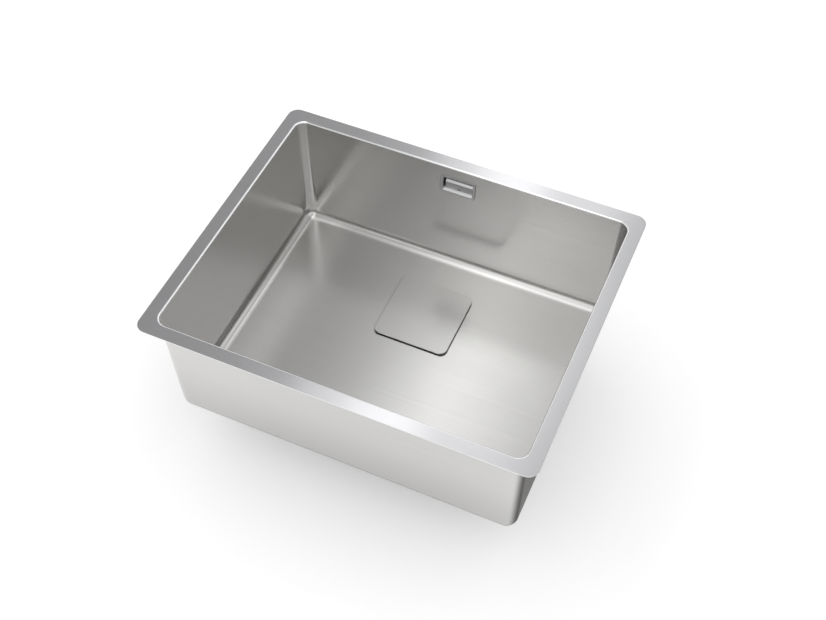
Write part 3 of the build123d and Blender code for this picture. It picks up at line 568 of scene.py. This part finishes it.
# Tones of the ceiling by how far a ray leans to the right, as X over Z: behind, and in front.
REAR_TONES = (
    (-0.55, 0.29), (-0.49, 0.32), (-0.458, 0.35), (-0.42, 0.42), (-0.36, 0.48), (-0.30, 0.51),
    (-0.27, 0.54), (-0.242, 0.74), (-0.2135, 1.15), (-0.185, 1.48), (-0.157, 1.02), (-0.13, 0.36),
    (-0.05, 0.42), (0.35, 0.58), (0.6, 0.70),
)
FRONT_TONES = (
    (-0.55, 0.25), (-0.477, 0.28), (-0.447, 0.29), (-0.417, 0.36), (-0.388, 0.42), (-0.35, 0.46),
    (-0.30, 0.60), (-0.27, 0.74), (-0.24, 0.80), (-0.21, 1.15), (-0.18, 1.45), (-0.15, 1.50),
    (-0.10, 1.20), (0.0, 0.80), (0.35, 0.60), (0.6, 0.70),
)


def seen_rays(tree):
    """1 for what the camera sees, straight, mirrored or through glass, and 0 for plain light."""
    path = add(tree, "LightPath")
    mirrored = calc(tree, "MAXIMUM", path.outputs["Is Glossy Ray"], path.outputs["Is Transmission Ray"])
    return calc(tree, "MAXIMUM", path.outputs["Is Camera Ray"], mirrored)


def floor_paint():
    """Matt white paint. What a camera or a reflection sees of it is lifted to the backdrop's white."""
    material, tree, shader = new_finish("floor_paint", 0.0, Roughness=0.9)
    marks = use(tree, marks_group, Cloud_Size=FLOOR_CLOUDS).outputs["Marks"]
    colour = tint(tree, marks, (0.80, 0.80, 0.80), (0.82, 0.82, 0.82))
    tree.links.new(colour, shader.inputs["Base Color"])
    shader.inputs["Emission Color"].default_value = (*WHITE, 1.0)
    glow = calc(tree, "MULTIPLY", seen_rays(tree), FLOOR_GLOW)
    tree.links.new(glow, shader.inputs["Emission Strength"])
    return material


half = FLOOR_SIZE / 2
level = cad_box[0].z
corners = [(-half, -half, level), (half, -half, level), (half, half, level), (-half, half, level)]
floor_mesh = bpy.data.meshes.new("floor")
floor_mesh.from_pydata(corners, [], [(0, 1, 2, 3)])
floor_mesh.materials.append(floor_paint())
floor = bpy.data.objects.new("floor", floor_mesh)
bpy.context.scene.collection.objects.link(floor)


def ceiling_tones(tree, across, stops):
    """Paints the ceiling's tones across the room, which runs from 0 on its left to 1."""
    ramp = add(tree, "ValToRGB")
    tones = ramp.color_ramp.elements
    tones.remove(tones[0])
    for lean, tone in stops:
        tones.new((lean + 1.0) / 2.0).color = (tone, tone, tone, 1.0)
    tones.remove(tones[-1])
    tree.links.new(across, ramp.inputs["Fac"])
    return ramp.outputs["Color"]


world = bpy.data.worlds.new("studio")
bpy.context.scene.world = world
world.use_nodes = True
room = world.node_tree
plain = room.nodes["Background"]
plain.inputs["Color"].default_value = (*WHITE, 1.0)
plain.inputs["Strength"].default_value = ROOM_LEVEL
way = add(room, "SeparateXYZ")
room.links.new(add(room, "TexCoord").outputs["Generated"], way.inputs[0])
rise = calc(room, "MAXIMUM", way.outputs["Z"], LOWEST_RISE)
across_room = add(room, "MapRange", From_Min=-1.0, From_Max=1.0)
room.links.new(calc(room, "DIVIDE", way.outputs["X"], rise), across_room.inputs["Value"])
front, rear = (ceiling_tones(room, across_room.outputs[0], tones) for tones in (FRONT_TONES, REAR_TONES))
ceiling = blend(room, smooth_step(room, way.outputs["Y"], *FRONT_TO_REAR), front, rear)
overhead = smooth_step(room, way.outputs["Z"], *WALL_TO_CEILING)
backdrop = add(room, "Background")
room.links.new(blend(room, overhead, WHITE, ceiling), backdrop.inputs["Color"])
choice = add(room, "MixShader")
for socket, source in enumerate((seen_rays(room), plain.outputs[0], backdrop.outputs[0])):
    room.links.new(source, choice.inputs[socket])
room.links.new(choice.outputs[0], room.nodes["World Output"].inputs["Surface"])


def soft_lamp(name, at, width, length, watts):
    """A lamp with a white cloth front, hung level, seen in reflections and not by the camera."""
    lamp = bpy.data.lights.new(name, "AREA")
    lamp.shape = "RECTANGLE"
    lamp.size = width
    lamp.size_y = length
    lamp.energy = watts
    holder = bpy.data.objects.new(name, lamp)
    holder.location = at
    holder.visible_camera = False
    bpy.context.scene.collection.objects.link(holder)


soft_lamp("long_lamp", at=(-0.139, 0.2, 0.6), width=0.258, length=2.8, watts=0.78)
soft_lamp("inner_lamp", at=(-0.098, 0.2, 0.59), width=0.13, length=2.8, watts=0.42)
soft_lamp("rear_lamp", at=(-0.09, 1.05, 1.5), width=0.17, length=0.56, watts=0.12)
soft_lamp("broad_lamp", at=(0.1, 0.0, 2.6), width=1.2, length=1.2, watts=1.8)
